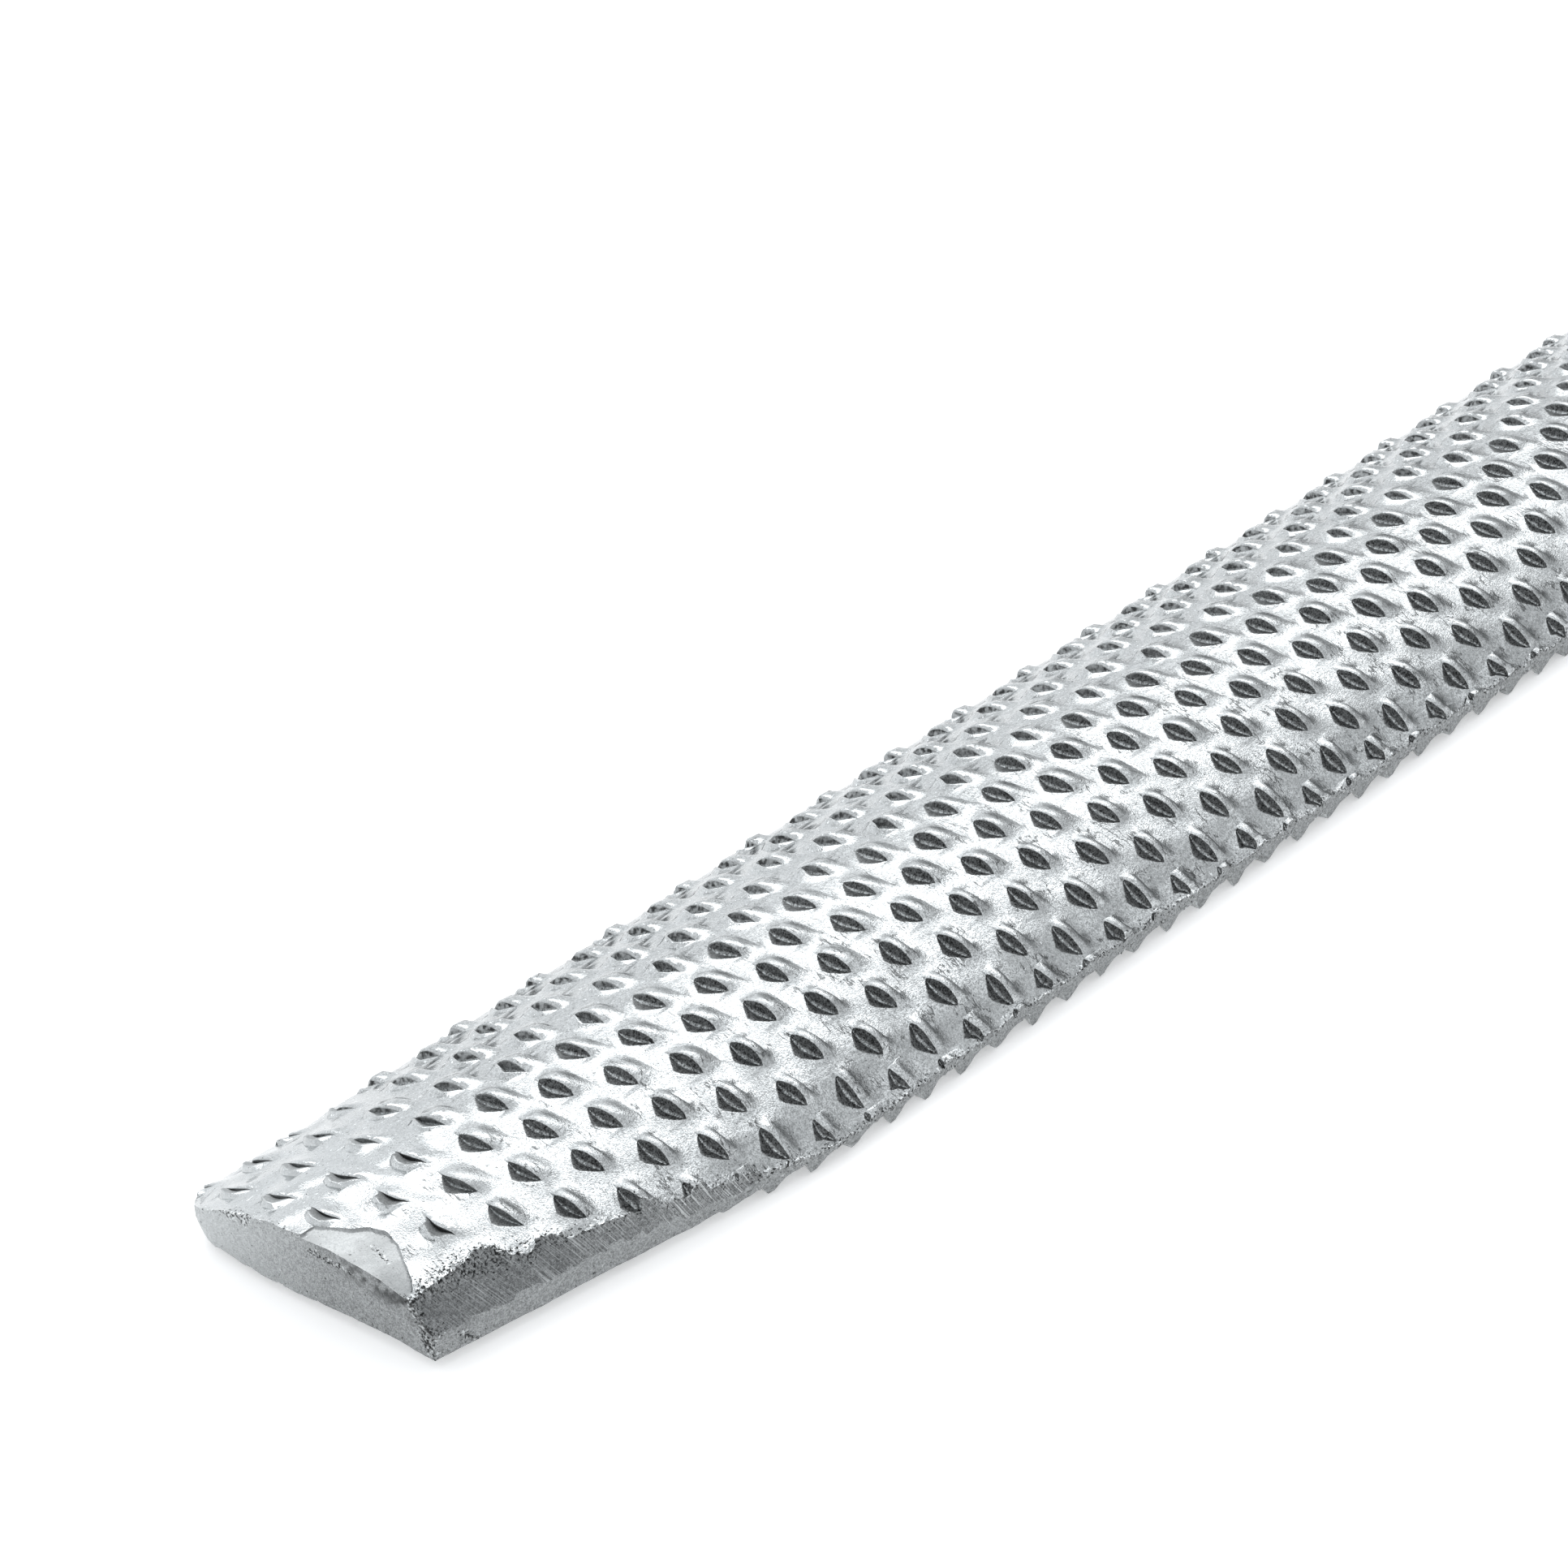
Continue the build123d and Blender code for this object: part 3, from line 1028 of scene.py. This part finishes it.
# %% Chip the torn edges
torn = np.clip(np.maximum(round_ground, round_sanded * near_side) - 0.5, 0, 1) / 0.5
torn *= np.clip((toothed_length - 2 * MM - x) / MM, 0, 1) * above_flat_face
chips = wave_moves(points, 0.23 * MM, 61) + wave_moves(points, 0.5 * MM, 65)
set_points(blade, points_of(blade) + 0.16 * MM * chips * torn[:, None] * (1, 0, 1))
triangles = sum(len(face.vertices) - 2 for face in blade.data.polygons)
print("blade:", triangles, "triangles")

# %% [markdown]
# ## Steel from nodes
#
# All finishes are bare steel with a different surface. Small helpers keep the node code short:
# a socket knows the tree it belongs to, so they find the tree by their inputs. Patterns read
# Object coordinates, in metres, so a scale of 5000 gives grains of 0.2 mm.

# %% Node helpers
def feed(item, inputs):
    """Fills a node's inputs: socket name or number -> value or another node's output."""
    for key, value in inputs.items():
        if isinstance(value, bpy.types.NodeSocket):
            item.id_data.links.new(value, item.inputs[key])
        else:
            item.inputs[key].default_value = value
    return item


def add(tree, kind, inputs, **settings):
    """Adds one shader node to a tree."""
    item = tree.nodes.new("ShaderNode" + kind)
    for key, value in settings.items():
        setattr(item, key, value)
    return feed(item, inputs)


def join(kind, inputs, **settings):
    """Adds one shader node to the tree of its inputs."""
    sockets = [value for value in inputs.values() if isinstance(value, bpy.types.NodeSocket)]
    return add(sockets[0].id_data, kind, inputs, **settings)


def place_in(tree):
    return add(tree, "TexCoord", {}).outputs["Object"]


def grains(where, scale, detail=2.0):
    return join("TexNoise", {"Vector": where, "Scale": scale, "Detail": detail}).outputs["Fac"]


def between(value, low, high, to_low=0.0, to_high=1.0):
    """0 below low, 1 above high."""
    return join("MapRange", {
        "Value": value, "From Min": low, "From Max": high, "To Min": to_low, "To Max": to_high,
    }).outputs["Result"]


def math_node(operation, first, second):
    return join("Math", {0: first, 1: second}, operation=operation).outputs[0]


def multiply(first, second):
    return math_node("MULTIPLY", first, second)


def blend(factor, first, second):
    return join("Mix", {"Factor": factor, 6: first, 7: second}, data_type="RGBA").outputs[2]


def grey(level):
    """Steel is a little blue."""
    return (level * 0.965, level, level * 1.01, 1)


def tint(colour, factor, level, share=1.0):
    """Blends a colour toward a grey by a share of the factor."""
    return blend(multiply(factor, share), colour, grey(level))


# %% [markdown]
# ## Grain, specks and folds
#
# The steel was sandblasted after hardening: a fine even grain, with dark specks where scale
# stayed in a pore. Between the teeth the punching pushed up thin folds across the blade, and
# dirt sits in them. One node group makes all three, and each finish takes its share of them.
# A fold is where slow, stretched noise passes its middle value, broken up by a second noise.

# %% The grain group
def new_group(name, inputs, outputs):
    """A node group, its given values, its output node and the places on the blade."""
    group = bpy.data.node_groups.new(name, "ShaderNodeTree")
    for socket, value in inputs.items():
        made = group.interface.new_socket(socket, in_out="INPUT", socket_type="NodeSocketFloat")
        made.default_value = value
    for socket in outputs:
        group.interface.new_socket(socket, in_out="OUTPUT", socket_type="NodeSocketFloat")
    given = group.nodes.new("NodeGroupInput").outputs
    return group, given, group.nodes.new("NodeGroupOutput"), place_in(group)


grain_group, given, result, where = new_group(
    "sandblast_grain", {"Grain": 1.0, "Specks": 1.0, "Folds": 1.0}, ("Height", "Tone", "Dark")
)
fine, coarse = grains(where, 11500.0, 1.5), grains(where, 4600.0)
tone = math_node("ADD", multiply(fine, 0.62), multiply(coarse, 0.38))
tone = between(tone, 0.38, 0.62)
patches = between(grains(where, 520.0), 0.44, 0.62, 0.03, -0.03)
pores = math_node("ADD", grains(where, 8500.0, 1.0), patches)
pores = multiply(between(pores, 0.27, 0.20), given["Specks"])
stretched = join("VectorMath", {0: where, 1: (2300.0, 560.0, 1200.0)}, operation="MULTIPLY")
wander = grains(stretched.outputs[0], 1.0, 3.0)
ridge = math_node("ABSOLUTE", math_node("SUBTRACT", wander, 0.5), 0.0)
broken = between(grains(where, 620.0, 3.0), 0.55, 0.60)
folds = multiply(between(ridge, 0.008, 0.028, 1.0, 0.0), broken)
dark = math_node("MAXIMUM", pores, multiply(folds, given["Folds"]))
height = math_node("SUBTRACT", multiply(tone, given["Grain"]), dark)
feed(result, {"Height": height, "Tone": tone, "Dark": dark})
print("grain group:", len(grain_group.nodes), "nodes")

# %% [markdown]
# ## Torn steel, with painted glints
#
# Along torn lines dirt lies in clumps, with painted highlights among them: small glints painted
# near white. The `burr` value raises two noises, so near a line more of each passes its limit.
# For the glints it counts only up to 0.6, so they grow no denser in the worst places.

# %% The torn steel group
burr_group, given, result, where = new_group("torn_dirt_and_glints", {"Burr": 0.0}, ("Dark", "Glint"))
clumps = math_node("ADD", grains(where, 6800.0, 3.5), multiply(given["Burr"], 0.24))
limited = math_node("MINIMUM", given["Burr"], 0.6)
# Painted highlights: glints painted near white along torn lines
painted_glints = math_node("ADD", grains(where, 4400.0, 2.5), multiply(limited, 0.24))
feed(result, {"Dark": between(clumps, 0.64, 0.76), "Glint": between(painted_glints, 0.71, 0.74)})
print("torn steel group:", len(burr_group.nodes), "nodes")


def burred(colour, glints):
    """Adds the dirt of torn steel and its painted highlights, glints painted near white, to a
    colour.
    """
    near_line = add(colour.id_data, "Attribute", {}, attribute_name="burr").outputs["Fac"]
    torn = add(colour.id_data, "Group", {"Burr": near_line}, node_tree=burr_group).outputs
    return tint(tint(colour, torn["Dark"], 0.025), torn["Glint"], 0.95, glints)


# %% [markdown]
# ## The punched steel
#
# Between the teeth the steel is bright and speckled on the near flank. The far flank lies
# smoother and greyer, with a few painted highlights in it, small sparkles painted near white,
# and the teeth at the point are rubbed.

# %% Punched steel between the teeth
def steel(name, roughness):
    """Makes a finish bare metal. Gives its shader and the places on the blade."""
    material = finishes[name]
    material.use_nodes = True
    shader = material.node_tree.nodes["Principled BSDF"]
    return feed(shader, {"Metallic": 1.0, "Roughness": roughness}), place_in(shader.id_data)


def grain(where, fine, specks, folds):
    shares = {"Grain": fine, "Specks": specks, "Folds": folds}
    return add(where.id_data, "Group", shares, node_tree=grain_group).outputs


def toned(surface, low, high):
    return blend(surface["Tone"], grey(low), grey(high))


def cover(shader, colour, height, relief=0.009 * MM):
    """Gives the shader its colour and its fine relief."""
    made = {"Strength": 1.0, "Distance": relief, "Height": height}
    bump = add(shader.id_data, "Bump", made)
    feed(shader, {"Base Color": colour, "Normal": bump.outputs["Normal"]})


shader, where = steel("punched_steel", 0.38)
along, across = join("SeparateXYZ", {0: where}).outputs[:2]
near_flank = (5.2 * MM, -2.2 * MM)
near = between(across, *near_flank)
rubbed = between(along, point_x + 13 * MM, point_x + 4 * MM)
surface = grain(where, between(across, *near_flank, 0.4, 1.0), near, near)
soft = between(grains(where, 420.0), 0.40, 0.60)
speckled = tint(toned(surface, 0.34, 0.84), soft, 0.38, 0.5)
# Painted highlights: sparkles painted near white on the far flank
painted_sparkles = between(grains(where, 6000.0, 1.0), 0.67, 0.75)
smooth = tint(toned(surface, 0.36, 0.54), painted_sparkles, 0.80)
bright = tint(blend(near, smooth, speckled), rubbed, 0.54, 0.5)
bright = burred(tint(bright, surface["Dark"], 0.10, 0.85), 1.0)

# %% [markdown]
# ## The raw steel of the pits, with painted shade
#
# The pits are darker and the cutting faces darkest: raw steel, with painted shade over it. The
# crease where they meet is paler, a painted highlight. In the far pits the painted shade is
# lighter, and the floor stays bright. All of it is rougher.

# %% Punched steel in the pits
punched, crease = (
    add(shader.id_data, "Attribute", {}, attribute_name=name).outputs["Fac"]
    for name in ("punched", "crease")
)
# Painted shade: the pit floor is darkest next to the cutting face and lighter toward its tip
outer_floor = between(punched, 0.50, 0.15)
pit_floor = blend(outer_floor, toned(surface, 0.02, 0.17), toned(surface, 0.05, 0.28))
# Lighter painted shade in the far pits
far_pits = between(across, 0.5 * MM, 6.0 * MM)
pit_floor = blend(far_pits, pit_floor, toned(surface, 0.30, 0.50))
far_face = blend(between(grains(where, 3300.0, 3.0), 0.4, 0.62), grey(0.05), grey(0.42))
far_teeth = between(across, 2.0 * MM, 8.0 * MM)
cutting_face = blend(far_teeth, toned(surface, 0.02, 0.19), far_face)
# Painted shade: the cutting face darkest of all
raw_and_shaded = blend(between(punched, 0.80, 0.88), pit_floor, cutting_face)
# Painted highlight: the crease painted paler
raw_and_shaded = blend(between(crease, 0.60, 0.95), raw_and_shaded, toned(surface, 0.16, 0.85))
raw_and_shaded = tint(raw_and_shaded, rubbed, 0.34, 0.45)
inside = between(punched, 0.05, 0.20)
cover(shader, blend(inside, bright, raw_and_shaded), surface["Height"])
polish = multiply(between(near, 0.0, 1.0, 0.13, 0.28), between(rubbed, 0.0, 1.0, 1.0, 0.6))
feed(shader, {"Roughness": math_node("MAXIMUM", polish, multiply(inside, 0.6))})
print("punched steel:", len(shader.id_data.nodes), "nodes")

# %% [markdown]
# ## The sanded steel
#
# The cut end and the side strips are evenly sandblasted, a little lighter toward the far
# side. Just under the crown's line the cut end is darker in patches. That line is an arc,
# so the drop of the crown is added to the height before it is compared.

# %% Sanded steel
shader, where = steel("sanded_steel", 0.5)
surface = grain(where, 1.0, 0.6, 0.0)
along, across, up = join("SeparateXYZ", {0: where}).outputs
lighter_far_side = between(across, 0.0, 8.5 * MM)
sanded = blend(lighter_far_side, toned(surface, 0.21, 0.42), toned(surface, 0.43, 0.58))
crown_drop = multiply(multiply(across, across), 0.5 / float(crown_radius(toothed_length)))
under_crown = between(math_node("ADD", up, crown_drop), 3.2 * MM, 4.2 * MM)
patchy = between(grains(where, 1300.0, 5.0), 0.42, 0.56, 0.1, 0.85)
at_point = between(along, point_x + 4 * MM, point_x + 3 * MM)
dark_band = multiply(under_crown, between(across, 0.5 * MM, -3 * MM))
sanded = tint(sanded, multiply(multiply(dark_band, patchy), at_point), 0.05)
cover(shader, burred(tint(sanded, surface["Dark"], 0.10, 0.7), 0.35), surface["Height"])

# %% [markdown]
# ## The ground steel
#
# The facet keeps the fine scratches of the wheel, which run down it at 60 degrees: noise
# stretched along one direction. Some of them are bright furrows and stand in the relief too.

# %% Ground steel
shader, where = steel("ground_steel", 0.45)
surface = grain(where, 0.5, 0.8, 0.0)
stretched = {}
for axis, way, scale in (
    (0, 0.5 * run - 0.87 * facet_up, 420.0), (1, 0.87 * run + 0.5 * facet_up, 14000.0)
):
    measured = join("VectorMath", {0: where, 1: way.normalized()}, operation="DOT_PRODUCT")
    stretched[axis] = multiply(measured.outputs["Value"], scale)
scratches = grains(join("CombineXYZ", stretched).outputs[0], 1.0)
furrows = between(grains(where, 330.0), 0.40, 0.60, 0.25, 1.0)
furrows = multiply(between(scratches, 0.51, 0.70), furrows)
ground = tint(toned(surface, 0.12, 0.30), between(scratches, 0.44, 0.26, 0.0, 0.5), 0.08)
ground = tint(tint(ground, furrows, 0.58), surface["Dark"], 0.03, 0.8)
cover(shader, burred(ground, 0.12), math_node("ADD", surface["Height"], furrows))

# %% [markdown]
# ## Flattened patch and heel
#
# The hammered patch is smooth and smeared. The heel and tang are plain forged steel. Neither
# has folds, as no teeth were punched there.

# %% Flattened and heel steel
shader, where = steel("flattened_steel", 0.32)
surface = grain(where, 0.2, 0.1, 0.0)
smear = between(grains(where, 700.0), 0.45, 0.62, 0.0, 0.5)
flattened = tint(toned(surface, 0.30, 0.38), smear, 0.24)
cover(shader, burred(tint(flattened, surface["Dark"], 0.15, 0.6), 0.3), surface["Height"])

shader, where = steel("heel_steel", 0.4)
surface = grain(where, 0.7, 0.5, 0.0)
forged = tint(toned(surface, 0.40, 0.55), surface["Dark"], 0.12, 0.8)
cover(shader, forged, surface["Height"], relief=0.01 * MM)
print("finishes:", [slot.material.name for slot in blade.material_slots])

# %% [markdown]
# ## Floor and light
#
# A white, faintly glowing floor gives the photograph's white ground. The world is a bright
# studio, brighter toward the back, where most of the steel's reflections come from, and darker
# to one side. One softbox at the back draws the highlights on the crests.

# %% Floor, world and lamp
bpy.ops.mesh.primitive_plane_add(size=4)
floor = bpy.context.object
floor.name = "floor"
pale = bpy.data.materials.new("pale_floor")
pale.use_nodes = True
feed(pale.node_tree.nodes["Principled BSDF"], {
    "Base Color": (0.92, 0.92, 0.92, 1), "Roughness": 0.9,
    "Emission Color": (1, 1, 1, 1), "Emission Strength": 0.3,
})
floor.data.materials.append(pale)

world = bpy.data.worlds.new("studio")
bpy.context.scene.world = world
world.use_nodes = True
sky = world.node_tree
direction = add(sky, "TexCoord", {}).outputs["Generated"]
sideways, backwards = join("SeparateXYZ", {0: direction}).outputs[:2]
back_wall = between(backwards, -0.5, 0.10, 0.84, 1.18)
level = math_node("ADD", back_wall, between(backwards, 0.60, 1.0, 0.0, 0.30))
level = multiply(level, between(sideways, 0.70, 0.96, 1.0, 0.20))
feed(sky.nodes["Background"], {"Strength": level, "Color": (0.96, 0.98, 1.0, 1)})
bpy.context.scene.view_settings.view_transform = "Standard"

light = bpy.data.lights.new("back_light", "AREA")
light.shape = "RECTANGLE"
light.size, light.size_y = 0.80, 0.37
light.energy = 1.85
lamp = bpy.data.objects.new("back_light", light)
lamp.location = (0.439, 0.414, 0.672)
middle_of_blade = Vector((-0.09, 0, 0))
lamp.rotation_euler = (lamp.location - middle_of_blade).to_track_quat("Z", "Y").to_euler()
bpy.context.scene.collection.objects.link(lamp)
print("light:", light.energy, "W from", round(lamp.location.length, 2), "m")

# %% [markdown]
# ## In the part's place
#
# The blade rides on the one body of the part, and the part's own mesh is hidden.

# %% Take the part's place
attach(blade, "root")
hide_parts("rasp")
